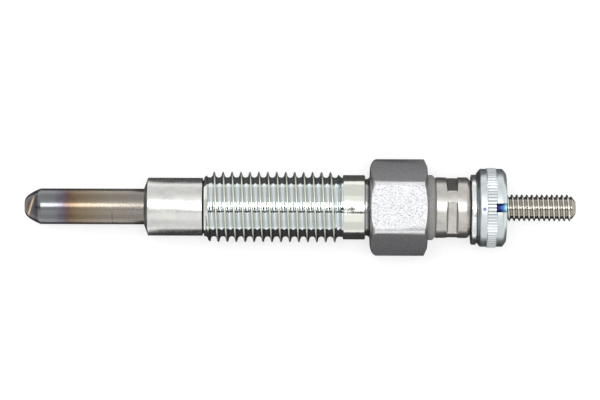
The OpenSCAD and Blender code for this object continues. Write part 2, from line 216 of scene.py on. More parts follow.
def close_mesh():
    """Merges the seam of the mesh that is being edited and turns its faces outwards."""
    bpy.ops.mesh.select_all(action="SELECT")
    bpy.ops.mesh.remove_doubles(threshold=same_point)
    bpy.ops.mesh.normals_make_consistent(inside=False)
    bpy.ops.object.mode_set(mode="OBJECT")


def turn(name, corners, steps=96):
    """A turned piece: its half section spun round the X axis."""
    piece = draw_line(name, corners)
    bpy.ops.mesh.select_all(action="SELECT")
    bpy.ops.mesh.spin(steps=steps, angle=2 * math.pi, center=(0, 0, 0), axis=(1, 0, 0))
    close_mesh()
    return piece


def smooth(piece, angle):
    """Shades a piece smooth, apart from edges sharper than an angle in degrees."""
    bpy.ops.object.select_all(action="DESELECT")
    piece.select_set(True)
    bpy.context.view_layer.objects.active = piece
    bpy.ops.object.shade_smooth_by_angle(angle=math.radians(angle))


sheath = turn("heater_sheath", [
    (sheath_tip, 0),
    (sheath_tip, tip_face_r, 0.3 * mm),
    (sheath_tip + 0.42 * mm, 1.54 * mm, 0.3 * mm),
    (sheath_tip + 1.25 * mm, 2.06 * mm, 0.4 * mm),
    (sheath_tip + 2.2 * mm, sheath_r, 0.2 * mm),
    (sheath_end, sheath_r, 0.15 * mm),
    (sheath_end, bore_r),
    (bore_cone_back, bore_r, 0.2 * mm),
    (sheath_tip + tip_floor, floor_r, 0.2 * mm),
    (sheath_tip + tip_floor, 0),
], steps=128)
smooth(sheath, 40)


def split(tree, place):
    """The x, y and z of a place."""
    node = tree.nodes.new("ShaderNodeSeparateXYZ")
    tree.links.new(place, node.inputs["Vector"])
    return node.outputs["X"], node.outputs["Y"], node.outputs["Z"]


def combine(tree, operation, *values):
    """Sum, product or other result of values, each a number or another node's value."""
    node = tree.nodes.new("ShaderNodeMath")
    node.operation = operation
    for socket, value in zip(node.inputs, values):
        if isinstance(value, (int, float)):
            socket.default_value = value
        else:
            tree.links.new(value, socket)
    return node.outputs["Value"]


def overlay(tree, share, below, above):
    """One colour laid over another, by a share from 0 to 1. The upper colour may be plain numbers."""
    node = tree.nodes.new("ShaderNodeMixRGB")
    tree.links.new(share, node.inputs["Fac"])
    tree.links.new(below, node.inputs["Color1"])
    if isinstance(above, tuple):
        node.inputs["Color2"].default_value = (*above, 1)
    else:
        tree.links.new(above, node.inputs["Color2"])
    return node.outputs["Color"]


# Heat tints along the sheath, in millimetres from the tip. The dark band from 1.6 to 1.9 mm, where the cone
# meets the cylinder, is painted shade.
tint_length = 17.5
heat_tints_and_shade = [
    (0.0, 0.14, 0.118, 0.105),
    (1.2, 0.13, 0.114, 0.11),
    (1.6, 0.07, 0.066, 0.084),
    (1.9, 0.075, 0.07, 0.088),
    (2.0, 0.205, 0.212, 0.216),
    (4.2, 0.19, 0.198, 0.208),
    (5.0, 0.14, 0.136, 0.163),
    (5.6, 0.123, 0.097, 0.123),
    (6.0, 0.127, 0.083, 0.075),
    (6.5, 0.165, 0.10, 0.058),
    (7.4, 0.205, 0.145, 0.088),
    (9.5, 0.24, 0.19, 0.132),
    (12.0, 0.265, 0.23, 0.19),
    (17.5, 0.255, 0.233, 0.207),
]
tinted_alloy, tree, shader, place = new_finish("tinted_alloy", 1.0)
x, y, z = split(tree, place)
ripple = spread(tree, grain(tree, place, (0.8, 0.8, 0.8), 4.0), 0.3, 0.7, -0.35, 0.35)
back = combine(tree, "SUBTRACT", x, sheath_tip / mm)
ripple = combine(tree, "MULTIPLY", ripple, spread(tree, back, 2.5, 4.5, 0.15, 1.0))
from_tip = combine(tree, "ADD", back, ripple)
along = combine(tree, "DIVIDE", from_tip, tint_length)
tint = shades(tree, along, [(at / tint_length, *colour) for at, *colour in heat_tints_and_shade])
speckle = grain(tree, place, (0.35, 0.22, 0.22), 3.0)
stained = spread(tree, speckle, 0.52, 0.72, 0.0, 0.45)
stained = combine(tree, "MULTIPLY", stained, spread(tree, back, 9, 16, 0.25, 1.0))
tint = overlay(tree, stained, tint, (0.16, 0.14, 0.12))
# A bright streak runs aslant over the tip where its weld was dressed. It is painted only on the upper side of
# the tip and fades towards its ends: the dressed seam with a painted highlight on it
seam_x = -24.12
seam_slope = 0.31
aslant = combine(tree, "SUBTRACT", x, seam_x)
aslant = combine(tree, "SUBTRACT", aslant, combine(tree, "MULTIPLY", y, seam_slope))
seam_and_highlight = spread(tree, combine(tree, "ABSOLUTE", aslant), 0.06, 0.2, 1.0, 0.0)
seam_and_highlight = combine(tree, "MULTIPLY", seam_and_highlight, spread(tree, z, 0.5, 1.1, 0.0, 1.0))
seam_and_highlight = combine(tree, "MULTIPLY", seam_and_highlight, spread(tree, combine(tree, "ABSOLUTE", y), 0.7, 1.5, 1.0, 0.0))
tint = overlay(tree, seam_and_highlight, tint, (0.80, 0.60, 0.42))
# A faint ring was left by the tool that once held the sheath
ring_x = -12.8
from_ring = combine(tree, "ABSOLUTE", combine(tree, "SUBTRACT", x, ring_x))
ring_mark = spread(tree, from_ring, 0.03, 0.1, 0.7, 0.0)
ring_mark = combine(tree, "MULTIPLY", ring_mark, spread(tree, y, -0.9, -0.5, 1.0, 0.0))
tint = overlay(tree, ring_mark, tint, (0.10, 0.09, 0.08))
tree.links.new(tint, shader.inputs["Base Color"])
gloss = spread(tree, back, 7, 14, 0.21, 0.24)
gloss = combine(tree, "ADD", gloss, spread(tree, speckle, 0.3, 0.7, 0.0, 0.06))
tree.links.new(gloss, shader.inputs["Roughness"])
# A thin clear oxide lies over the tints
tree.links.new(spread(tree, back, 7, 14, 0.5, 0.85), shader.inputs["Coat Weight"])
shader.inputs["Coat Roughness"].default_value = 0.12
relief(tree, shader, speckle, 0.0002)
sheath.data.materials.append(tinted_alloy)
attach(sheath, "plug")
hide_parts("sheath_tube")

# Centre rod: one nickel-plated steel rod that carries the current from the terminal to the coils. Its inner
# end is turned thin for the coil, and its outer end is a rolled M4 thread with a coned tip.
rod_low, rod_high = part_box("centre_rod")
stud_r = rod_high.z
stud_crest_r = stud_r - 0.05 * mm
stud_root_r = 1.5 * mm
stud_pitch = 0.7 * mm
stud_end = rod_high.x
stud_cone = 0.85 * mm
stud_tip_r = 0.87 * mm
rod_pin_r = 0.97 * mm
rod_pin_end = rod_low.x + 2.12 * mm
rod_inner_r = 1.4 * mm
rod_r = 1.75 * mm
bush_low, bush_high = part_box("insulating_bush")
collar_low, collar_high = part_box("crimp_collar")
hex_back = collar_low.x - 1.1 * mm
thread_from = collar_high.x - 0.9 * mm
stud_step = 0.3 * mm
stud_core_r = 0.98 * stud_root_r
stud_blank_r = 1.02 * stud_r


def screw_thread(name, start, end, ridge_x, root, crest, pitch, crest_flat, root_flat, root_soft):
    """A right-hand thread as a closed bar: one ridge is drawn ahead of the start, in step with a ridge on the
    upper side at ridge_x, then screwed along the axis and cut off square at both ends."""
    middle = ridge_x - pitch * (math.ceil((ridge_x - start) / pitch) + 1)
    first = middle - pitch / 2
    last = middle + pitch / 2
    ridge = draw_line(name, [
        (first, root),
        (first + root_flat / 2, root, root_soft),
        (middle - crest_flat / 2, crest, crest_flat / 3),
        (middle + crest_flat / 2, crest, crest_flat / 3),
        (last - root_flat / 2, root, root_soft),
        (last, root),
    ])
    bpy.ops.object.mode_set(mode="OBJECT")
    winding = ridge.modifiers.new("winding", "SCREW")
    winding.axis = "X"
    winding.angle = 2 * math.pi
    winding.screw_offset = pitch
    winding.iterations = math.ceil((end - start) / pitch) + 3
    winding.steps = 72
    winding.render_steps = 72
    bpy.ops.object.modifier_apply(modifier=winding.name)
    bpy.ops.object.mode_set(mode="EDIT")
    bpy.ops.mesh.select_all(action="SELECT")
    bpy.ops.mesh.remove_doubles(threshold=same_point)
    for cut, keep_after in ((start, True), (end, False)):
        bpy.ops.mesh.select_all(action="SELECT")
        bpy.ops.mesh.bisect(
            plane_co=(cut, 0, 0), plane_no=(1, 0, 0), use_fill=True, threshold=same_point / 10,
            clear_inner=keep_after, clear_outer=not keep_after,
        )
    close_mesh()
    return ridge


def work(piece, tool, operation):
    """Joins, cuts or limits a piece with a tool piece, which is then cleared away."""
    bpy.ops.object.select_all(action="DESELECT")
    bpy.context.view_layer.objects.active = piece
    change = piece.modifiers.new(operation, "BOOLEAN")
    change.object = tool
    change.operation = operation
    change.solver = "EXACT"
    bpy.ops.object.modifier_apply(modifier=change.name)
    bpy.data.objects.remove(tool)


rod = turn("centre_rod_and_stud", [
    (rod_low.x, 0),
    (rod_low.x, rod_pin_r, 0.1 * mm),
    (rod_pin_end, rod_pin_r),
    (rod_pin_end, rod_inner_r, 0.1 * mm),
    (sheath_end, rod_inner_r),
    (sheath_end, rod_r, 0.1 * mm),
    (hex_back - 0.3 * mm, rod_r),
    (hex_back, stud_r, 0.05 * mm),
    (thread_from - stud_step, stud_r, 0.1 * mm),
    (thread_from, stud_core_r),
    (stud_end - stud_cone, stud_core_r),
    (stud_end - stud_cone, 0),
])
stud_thread = screw_thread(
    "stud_thread", thread_from, stud_end + 0.5 * mm, thread_from + 0.75 * stud_pitch, stud_root_r,
    stud_crest_r, stud_pitch, 0.1 * mm, 0.26 * mm, 0.1 * mm,
)
stud_blank = turn("stud_blank", [
    (thread_from - stud_step, 0),
    (thread_from - stud_step, stud_root_r),
    (thread_from + stud_pitch, stud_blank_r),
    (stud_end - stud_cone, stud_blank_r),
    (stud_end, stud_tip_r, 0.1 * mm),
    (stud_end, 0),
])
work(stud_thread, stud_blank, "INTERSECT")
work(rod, stud_thread, "UNION")
smooth(rod, 35)


def from_axis(tree, place):
    """The distance of a place from the X axis."""
    _, y, z = split(tree, place)
    squares = combine(tree, "ADD", combine(tree, "MULTIPLY", y, y), combine(tree, "MULTIPLY", z, z))
    return combine(tree, "SQRT", squares)


nickel_thread, tree, shader, place = new_finish("nickel_thread", 1.0)
out = from_axis(tree, place)
height = spread(tree, out, stud_root_r / mm, stud_crest_r / mm, 0.0, 1.0)
# The stud thread is painted darker towards its roots and lighter towards its crests: painted shade in the
# roots and a painted highlight on the crests
shade = shades(tree, height, [
    (0.0, 0.36, 0.325, 0.28), (0.4, 0.71, 0.68, 0.63), (0.75, 0.87, 0.84, 0.80), (1.0, 0.96, 0.95, 0.92)
])
speckle = grain(tree, place, (0.12, 0.12, 0.12), 3.0)
shade = overlay(tree, spread(tree, speckle, 0.5, 0.75, 0.0, 0.25), shade, (0.40, 0.35, 0.30))
tree.links.new(shade, shader.inputs["Base Color"])
tree.links.new(spread(tree, speckle, 0.3, 0.7, 0.1, 0.2), shader.inputs["Roughness"])
relief(tree, shader, speckle, 0.0005)
rod.data.materials.append(nickel_thread)
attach(rod, "plug")
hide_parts("centre_rod")

# Housing: one zinc-plated steel turning. The nose ends in a conical gas seat, the M10 thread screws into the
# cylinder head, a neck sets off the blasted spanner hex, and a bore takes the sheath and the rod.
housing_low, housing_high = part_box("housing")
seat_x = housing_low.x
hex_end = housing_high.x
hex_flat_r = housing_high.z
hex_corner_r = housing_high.y
seat_rim_r = 2.6 * mm
nose_r = 4.05 * mm
nose_x = -7.86 * mm
groove_x = -0.26 * mm
groove_r = 3.65 * mm
thread_r = 4.9 * mm
thread_root_r = 4.12 * mm
thread_pitch = 1.25 * mm
thread_lead = 0.9 * mm
shoulder_x = 19.35 * mm
shoulder_r = 4.5 * mm
neck_x = 22.45 * mm
neck_r = 3.95 * mm
hex_x = 23.1 * mm
hex_face_r = 5.1 * mm
hex_round = 0.95 * mm
hex_back_r = 5.75 * mm
hex_bevel = 0.45 * mm
sheath_hole_r = 2.52 * mm
rod_bore_r = 2.3 * mm
chamber_r = 3.4 * mm
chamber_x = hex_end - 4.5 * mm
thread_core_r = thread_root_r - 0.15 * mm
thread_blank_r = 1.01 * thread_r
thread_out_r = thread_root_r + 0.02 * mm
neck_end = hex_x + 0.02 * mm
neck_stub_r = hex_face_r - 0.3 * mm
neck_stub_x = hex_x + 0.5 * mm

housing = turn("plug_housing", [
    (seat_x, 0),
    (seat_x, seat_rim_r),
    (nose_x, nose_r, 0.1 * mm),
    (groove_x, nose_r, 0.05 * mm),
    (groove_x / 2, groove_r),
    (0, thread_core_r),
    (shoulder_x, thread_core_r),
    (shoulder_x, shoulder_r, 0.12 * mm),
    (neck_x, shoulder_r, 0.2 * mm),
    (neck_x, neck_r, 0.05 * mm),
    (neck_end, neck_r, 0.55 * mm),
    (neck_end, neck_stub_r),
    (neck_stub_x, neck_stub_r),
    (neck_stub_x, 0),
], steps=128)
head_thread = screw_thread(
    "head_thread", 0, shoulder_x + 0.1 * mm, thread_pitch / 3, thread_root_r, thread_r, thread_pitch,
    0.17 * mm, 0.7 * mm, 0.32 * mm,
)
thread_blank = turn("thread_blank", [
    (-thread_lead, 0),
    (-thread_lead, thread_root_r),
    (0, thread_root_r),
    (thread_lead, thread_blank_r),
    (shoulder_x - 1.2 * thread_lead, thread_blank_r),
    (shoulder_x - 0.2 * thread_lead, thread_out_r),
    (shoulder_x + thread_lead, thread_out_r),
    (shoulder_x + thread_lead, 0),
])
work(head_thread, thread_blank, "INTERSECT")
work(housing, head_thread, "UNION")

bpy.ops.object.select_all(action="DESELECT")
bpy.ops.mesh.primitive_cylinder_add(
    vertices=6, radius=hex_flat_r / math.cos(math.pi / 6), depth=hex_end - hex_x,
    location=((hex_x + hex_end) / 2, 0, 0), rotation=(0, math.pi / 2, 0),
)
hexagon = bpy.context.object
bpy.ops.object.transform_apply(location=True, rotation=True, scale=True)
round_steps = 10
hex_front = [
    (
        hex_x + hex_round * (1 - math.cos(step / round_steps * math.pi / 2)),
        hex_face_r + (hex_corner_r - hex_face_r) * math.sin(step / round_steps * math.pi / 2),
    )
    for step in range(round_steps + 1)
]
hex_turning = turn("hex_turning", [
    (hex_x - 0.1 * mm, 0),
    (hex_x - 0.1 * mm, hex_face_r),
    *hex_front,
    (hex_end - hex_bevel, hex_corner_r),
    (hex_end, hex_back_r),
    (hex_end + 0.1 * mm, hex_back_r),
    (hex_end + 0.1 * mm, 0),
], steps=192)
work(hexagon, hex_turning, "INTERSECT")
work(housing, hexagon, "UNION")
bores = turn("bores", [
    (seat_x - mm, 0),
    (seat_x - mm, sheath_hole_r),
    (sheath_end, sheath_hole_r),
    (sheath_end, rod_bore_r),
    (chamber_x, rod_bore_r),
    (chamber_x, chamber_r),
    (hex_end + mm, chamber_r),
    (hex_end + mm, 0),
])
work(housing, bores, "DIFFERENCE")
smooth(housing, 30)
bpy.ops.object.select_all(action="DESELECT")

bright_zinc, tree, shader, place = new_finish("bright_zinc", 1.0)
blotch = grain(tree, place, (1.6, 0.9, 0.9), 4.0)
shade = shades(tree, blotch, [(0.3, 0.68, 0.68, 0.67), (0.5, 0.75, 0.75, 0.73), (0.7, 0.79, 0.79, 0.735)])
turning = grain(tree, place, (0.05, 3.0, 3.0), 2.0)
x, _, _ = split(tree, place)
# The shoulder was turned with a finer feed, which left it glossier, and its plating has a cream tint
shoulder_start = shoulder_x / mm
neck_start = neck_x / mm
shoulder = spread(tree, x, shoulder_start - 0.35, shoulder_start + 0.05, 0.0, 1.0)
before_neck = spread(tree, x, neck_start - 0.25, neck_start + 0.05, 1.0, 0.0)
shoulder = combine(tree, "MULTIPLY", shoulder, before_neck)
shade = overlay(tree, combine(tree, "MULTIPLY", shoulder, 0.8), shade, (0.82, 0.83, 0.75))
# The undercut neck is painted darker: painted shade in the recess between the shoulder and the hex
neck = spread(tree, x, neck_start - 0.05, neck_start + 0.05, 0.0, 1.0)
shade = overlay(tree, neck, shade, (0.40, 0.40, 0.40))
tree.links.new(shade, shader.inputs["Base Color"])
gloss = spread(tree, blotch, 0.3, 0.7, 0.21, 0.3)
gloss = combine(tree, "MULTIPLY", gloss, spread(tree, shoulder, 0.0, 1.0, 1.0, 0.5))
tree.links.new(gloss, shader.inputs["Roughness"])
chatter_height = 25.0
chatter = combine(tree, "MULTIPLY", grain(tree, place, (0.25, 0.8, 0.8)), shoulder)
chatter = combine(tree, "MULTIPLY", chatter, chatter_height)
relief(tree, shader, combine(tree, "ADD", turning, chatter), 0.0006)

thread_zinc, tree, shader, place = new_finish("thread_zinc", 1.0)
out = from_axis(tree, place)
height = spread(tree, out, thread_root_r / mm, thread_r / mm, 0.0, 1.0)
shade = shades(tree, height, [
    (0.0, 0.75, 0.81, 0.84), (0.25, 0.72, 0.77, 0.78), (0.45, 0.62, 0.63, 0.53), (0.85, 0.70, 0.69, 0.58),
    (0.97, 0.84, 0.82, 0.73)
])
speckle = grain(tree, place, (0.2, 0.2, 0.2), 3.0)
tree.links.new(shade, shader.inputs["Base Color"])
# The crests are worn dull
worn = spread(tree, height, 0.85, 0.95, 0.0, 0.35)
gloss = combine(tree, "ADD", spread(tree, speckle, 0.3, 0.7, 0.04, 0.08), worn)
tree.links.new(gloss, shader.inputs["Roughness"])
relief(tree, shader, speckle, 0.0004)

blasted_zinc, tree, shader, place = new_finish("blasted_zinc", 1.0)
pits = grain(tree, place, (0.2, 0.2, 0.2), 4.0)
patches = grain(tree, place, (1.2, 1.2, 1.2), 3.0)
shade = shades(tree, pits, [(0.3, 0.235, 0.225, 0.36), (0.4, 0.41, 0.41, 0.43), (0.5, 0.495, 0.50, 0.505)])
shade = overlay(tree, spread(tree, patches, 0.45, 0.7, 0.0, 0.35), shade, (0.46, 0.46, 0.46))
tree.links.new(shade, shader.inputs["Base Color"])
tree.links.new(spread(tree, pits, 0.3, 0.7, 0.48, 0.34), shader.inputs["Roughness"])
relief(tree, shader, pits, 0.03)

# A rough zinc painted dark, for painted shade in the seat cone and the groove
dull_shaded_zinc = mottled_finish(
    "dull_shaded_zinc", 1.0, (0.16, 0.16, 0.17), (0.30, 0.30, 0.30), (0.35, 0.5), (0.3, 0.3, 0.3), 0.004
)
worn_zinc = mottled_finish(
    "worn_zinc", 1.0, (0.78, 0.78, 0.79), (0.92, 0.92, 0.93), (0.3, 0.45), (0.3, 0.3, 0.3), 0.004
)
# The hex is blasted and its corners are worn bright. The seat and the groove are rougher and painted dark:
# painted shade in the seat cone and the groove
finishes = [bright_zinc, thread_zinc, blasted_zinc, dull_shaded_zinc, worn_zinc]
for finish in finishes:
    housing.data.materials.append(finish)
for face in housing.data.polygons:
    out = math.hypot(face.center.y, face.center.z)
    finish = bright_zinc
    if out > 0.99 * hex_corner_r:
        finish = worn_zinc
    elif face.center.x > hex_x - 0.01 * mm and (out > chamber_r or abs(face.normal.x) > 0.9):
        finish = blasted_zinc
    elif 0 < face.center.x < shoulder_x and out > groove_r:
        finish = thread_zinc
    elif face.center.x < nose_x - 0.1 * mm or groove_x < face.center.x < 0:
        finish = dull_shaded_zinc
    face.material_index = finishes.index(finish)
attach(housing, "plug")
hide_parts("housing")

# Insulating bush: a moulded grey plastic ring with a spigot. It closes the seal chamber of the housing and
# keeps the collar and the stud apart from the hex.
bush_r = bush_high.z
bush_hole_r = 1.96 * mm
spigot_r = 3.37 * mm
bush = turn("grey_bush", [
    (bush_low.x, bush_hole_r),
    (bush_low.x, spigot_r, 0.15 * mm),
    (hex_end, spigot_r),
    (hex_end, bush_r, 0.06 * mm),
    (bush_high.x - 0.38 * mm, bush_r, 0.08 * mm),
    (bush_high.x, bush_r - 0.38 * mm, 0.08 * mm),
    (bush_high.x, bush_hole_r),
    (bush_low.x, bush_hole_r),
])
smooth(bush, 35)
grey_moulding = mottled_finish(
    "grey_moulding", 0.0, (0.28, 0.277, 0.267), (0.34, 0.336, 0.323), (0.4, 0.55), (0.25, 0.25, 0.25), 0.008
)
bush.data.materials.append(grey_moulding)
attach(bush, "plug")
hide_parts("insulating_bush")

# Crimp collar: a nickel-plated steel sleeve, pushed over the stud against the bush. Four jaws have pressed
# flat pads into it, each with a sheared groove round its floor, so that it grips the thread.
collar_r = 4.25 * mm
collar_hole_r = 1.96 * mm
pad_count = 4
pad_turn = math.radians(23.5)
pad_floor = collar_r - 0.72 * mm
pad_width = 1.4 * mm
pad_x = (collar_low.x + collar_high.x) / 2 - 0.15 * mm
pad_length = 4.7 * mm
pad_groove = 0.14 * mm
jaw_size = 2 * mm
jaw_flare = (1.5, 1.7, 1)
collar = turn("crimped_collar", [
    (collar_low.x, collar_hole_r),
    (collar_low.x, collar_r, 0.24 * mm),
    (collar_low.x + 1.5 * mm, collar_r - 0.03 * mm),
    (collar_high.x - 1.2 * mm, collar_r - 0.01 * mm),
    (collar_high.x - 0.5 * mm, collar_r, 0.2 * mm),
    (collar_high.x - 0.15 * mm, collar_r - 0.4 * mm, 0.2 * mm),
    (collar_high.x, collar_r - 0.95 * mm, 0.1 * mm),
    (collar_high.x, collar_hole_r),
    (collar_low.x, collar_hole_r),
], steps=128)


def pick_faces(piece, wanted):
    """Selects the faces of a piece that is being edited whose normal is wanted."""
    bpy.ops.mesh.select_mode(type="FACE")
    bpy.ops.mesh.select_all(action="DESELECT")
    mesh = bmesh.from_edit_mesh(piece.data)
    for face in mesh.faces:
        if wanted(face.normal):
            face.select_set(True)
    mesh.select_flush_mode()
    bmesh.update_edit_mesh(piece.data)


for number in range(pad_count):
    bpy.ops.object.select_all(action="DESELECT")
    bpy.ops.mesh.primitive_cube_add(size=jaw_size, location=(0, 0, pad_floor + jaw_size / 2))
    jaw = bpy.context.object
    jaw.scale = (pad_width / jaw_size, pad_length / jaw_size, 1)
    bpy.ops.object.transform_apply(location=True, rotation=True, scale=True)
    bpy.ops.object.mode_set(mode="EDIT")
    pick_faces(jaw, lambda normal: normal.z > 0.9)
    bpy.ops.transform.resize(value=jaw_flare, center_override=(0, 0, 0))
    pick_faces(jaw, lambda normal: normal.z < -0.9)
    bpy.ops.mesh.inset(thickness=pad_groove)
    bpy.ops.transform.translate(value=(0, 0, pad_groove))
    bpy.ops.mesh.select_all(action="SELECT")
    bpy.ops.transform.translate(value=(pad_x, 0, -pad_groove))
    bpy.ops.transform.rotate(
        value=-(pad_turn + number * 2 * math.pi / pad_count), orient_axis="X", center_override=(0, 0, 0)
    )
    bpy.ops.object.mode_set(mode="OBJECT")
    work(collar, jaw, "DIFFERENCE")
smooth(collar, 28)
satin_nickel, tree, shader, place = new_finish("satin_nickel", 1.0)
brushing = grain(tree, place, (0.8, 0.12, 0.12), 3.0)
stains = grain(tree, place, (1.3, 1.3, 1.3), 4.0)
shade = shades(tree, brushing, [(0.3, 0.56, 0.54, 0.51), (0.7, 0.70, 0.68, 0.65)])
shade = overlay(tree, spread(tree, stains, 0.5, 0.8, 0.0, 0.5), shade, (0.45, 0.42, 0.38))
tree.links.new(shade, shader.inputs["Base Color"])
tree.links.new(spread(tree, stains, 0.3, 0.7, 0.28, 0.38), shader.inputs["Roughness"])
relief(tree, shader, brushing, 0.003)
collar.data.materials.append(satin_nickel)
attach(collar, "plug")
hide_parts("crimp_collar")

# Plain washer: stamped from zinc-plated steel, loose on the stud under the nut, where it has slipped to one
# side. The punch has rounded its edges.
washer_low, washer_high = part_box("plain_washer")
washer_r = washer_high.z
washer_hole_r = 2.25 * mm
washer_slip = (washer_low.y + washer_high.y) / 2
washer = turn("flat_washer", [
    (washer_low.x, washer_hole_r, 0.06 * mm),
    (washer_low.x, washer_r, 0.15 * mm),
    (washer_high.x, washer_r, 0.2 * mm),
    (washer_high.x, washer_hole_r, 0.06 * mm),
    (washer_low.x, washer_hole_r),
], steps=128)
bpy.ops.object.mode_set(mode="EDIT")
bpy.ops.mesh.select_all(action="SELECT")
bpy.ops.transform.translate(value=(0, washer_slip, 0))
bpy.ops.object.mode_set(mode="OBJECT")
smooth(washer, 40)
washer_zinc = mottled_finish(
    "washer_zinc", 1.0, (0.84, 0.85, 0.85), (0.96, 0.97, 0.97), (0.16, 0.3), (0.5, 0.5, 0.5), 0.001
)
washer.data.materials.append(washer_zinc)
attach(washer, "washer")
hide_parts("plain_washer")

# Terminal nut: a round zinc-plated steel nut that clamps the supply lead. It has bevelled ends, a band of
# straight knurling for the fingers and two driver notches in the rim of its outer face.
nut_low, nut_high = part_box("terminal_nut")
nut_start = nut_low.x
nut_end = nut_high.x
nut_r = 5.45 * mm
nut_hole_r = 1.98 * mm
nut_sink = 0.3 * mm
nut_bevel = 0.5 * mm
nut_bevel_depth = 0.65 * mm
knurl_ribs = 72
knurl_height = 0.12 * mm
knurl_from = nut_start + 1.35 * mm
knurl_to = knurl_from + 1.45 * mm
slot_width = 1.25 * mm
slot_floor = nut_end - 1.55 * mm
slot_core_r = 3.2 * mm
nut = turn("knurled_nut", [
    (nut_start, nut_hole_r + nut_sink),
    (nut_start, nut_r - nut_bevel_depth, 0.08 * mm),
    (nut_start + nut_bevel, nut_r, 0.12 * mm),
    (knurl_from, nut_r),
    (knurl_to, nut_r),
    (nut_end - nut_bevel, nut_r, 0.12 * mm),
    (nut_end, nut_r - nut_bevel_depth, 0.1 * mm),
    (nut_end, nut_hole_r + nut_sink),
    (nut_end - nut_sink, nut_hole_r),
    (nut_start + nut_sink, nut_hole_r),
    (nut_start, nut_hole_r + nut_sink),
], steps=knurl_ribs)
bpy.ops.object.mode_set(mode="EDIT")
bpy.ops.mesh.select_mode(type="FACE")
bpy.ops.mesh.select_all(action="DESELECT")
mesh = bmesh.from_edit_mesh(nut.data)
for face in mesh.faces:
    middle = face.calc_center_median()
    if knurl_from < middle.x < knurl_to and math.hypot(middle.y, middle.z) > nut_r * 0.9:
        face.select_set(True)
bmesh.update_edit_mesh(nut.data)
bpy.ops.mesh.inset(thickness=0.17 * mm, depth=knurl_height, use_individual=True)
bpy.ops.object.mode_set(mode="OBJECT")
bpy.ops.object.select_all(action="DESELECT")
bpy.ops.mesh.primitive_cube_add(size=mm, location=(slot_floor + mm, 0, 0))
blade = bpy.context.object
blade.scale = (2, slot_width / mm, 3 * nut_r / mm)
bpy.ops.object.transform_apply(location=True, rotation=True, scale=True)
slot_core = turn("slot_core", [
    (nut_start, 0),
    (nut_start, slot_core_r),
    (nut_end + 2 * mm, slot_core_r),
    (nut_end + 2 * mm, 0),
])
work(blade, slot_core, "DIFFERENCE")
work(nut, blade, "DIFFERENCE")
smooth(nut, 30)

cool_zinc, tree, shader, place = new_finish("cool_zinc", 1.0)
x, y, z = split(tree, place)
out = from_axis(tree, place)
blotch = grain(tree, place, (0.7, 0.7, 0.7), 4.0)
shade = shades(tree, blotch, [(0.3, 0.64, 0.71, 0.73), (0.5, 0.715, 0.775, 0.79), (0.7, 0.78, 0.81, 0.81)])
# The knurl is painted darker between the ribs and lighter on their tops: painted shade in the grooves
knurl_middle = (knurl_from + knurl_to) / 2 / mm
from_middle = combine(tree, "ABSOLUTE", combine(tree, "SUBTRACT", x, knurl_middle))
in_band = spread(tree, from_middle, 0.6, 0.7, 1.0, 0.0)
rib = spread(tree, out, nut_r / mm, (nut_r + knurl_height) / mm, 0.0, 1.0)
rib_shade = shades(tree, rib, [(0.0, 0.34, 0.39, 0.41), (0.35, 0.66, 0.71, 0.73), (0.9, 0.82, 0.85, 0.87)])
shade = overlay(tree, in_band, shade, rib_shade)
# The back bevel is painted dark: painted shade on the bevel that faces the washer
bevel_end = (nut_start + nut_bevel) / mm
bevel_shade = spread(tree, x, bevel_end - 0.15, bevel_end, 0.8, 0.0)
shade = overlay(tree, bevel_shade, shade, (0.20, 0.235, 0.25))
# A drop of the passivating bath has dried to a violet spot on the upper side
spot_x = 38.93
spot_y = -0.17
behind = combine(tree, "SUBTRACT", x, spot_x)
beside = combine(tree, "SUBTRACT", y, spot_y)
from_spot = combine(tree, "MULTIPLY", behind, behind)
from_spot = combine(tree, "ADD", from_spot, combine(tree, "MULTIPLY", beside, beside))
spot = spread(tree, from_spot, 0.02, 0.16, 0.9, 0.0)
spot = combine(tree, "MULTIPLY", spot, spread(tree, z, 4.0, 5.0, 0.0, 1.0))
shade = overlay(tree, spot, shade, (0.09, 0.065, 0.22))
tree.links.new(shade, shader.inputs["Base Color"])
tree.links.new(spread(tree, blotch, 0.3, 0.7, 0.3, 0.4), shader.inputs["Roughness"])
relief(tree, shader, blotch, 0.003)

# Inside the notches the passivation is violet to blue, painted darkest at the notch floor and lighter towards
# the rim: the plating's tint with painted shade in the notches
slot_tint_and_shade, tree, shader, place = new_finish("slot_tint_and_shade", 1.0)
x, _, _ = split(tree, place)
along = spread(tree, x, slot_floor / mm, nut_end / mm, 0.0, 1.0)
shade = shades(tree, along, [
    (0.0, 0.025, 0.012, 0.085), (0.45, 0.018, 0.025, 0.12), (0.7, 0.05, 0.12, 0.24), (1.0, 0.22, 0.46, 0.54)
])
tree.links.new(shade, shader.inputs["Base Color"])
patch = grain(tree, place, (0.3, 0.3, 0.3), 3.0)
tree.links.new(spread(tree, patch, 0.3, 0.7, 0.25, 0.4), shader.inputs["Roughness"])

nut.data.materials.append(cool_zinc)
nut.data.materials.append(slot_tint_and_shade)
for face in nut.data.polygons:
    out = math.hypot(face.center.y, face.center.z)
    in_slot = abs(face.center.y) < slot_width / 2 + same_point and face.center.x > slot_floor - same_point
    face.material_index = 1 if in_slot and out > 0.99 * slot_core_r else 0
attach(nut, "nut")
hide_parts("terminal_nut")

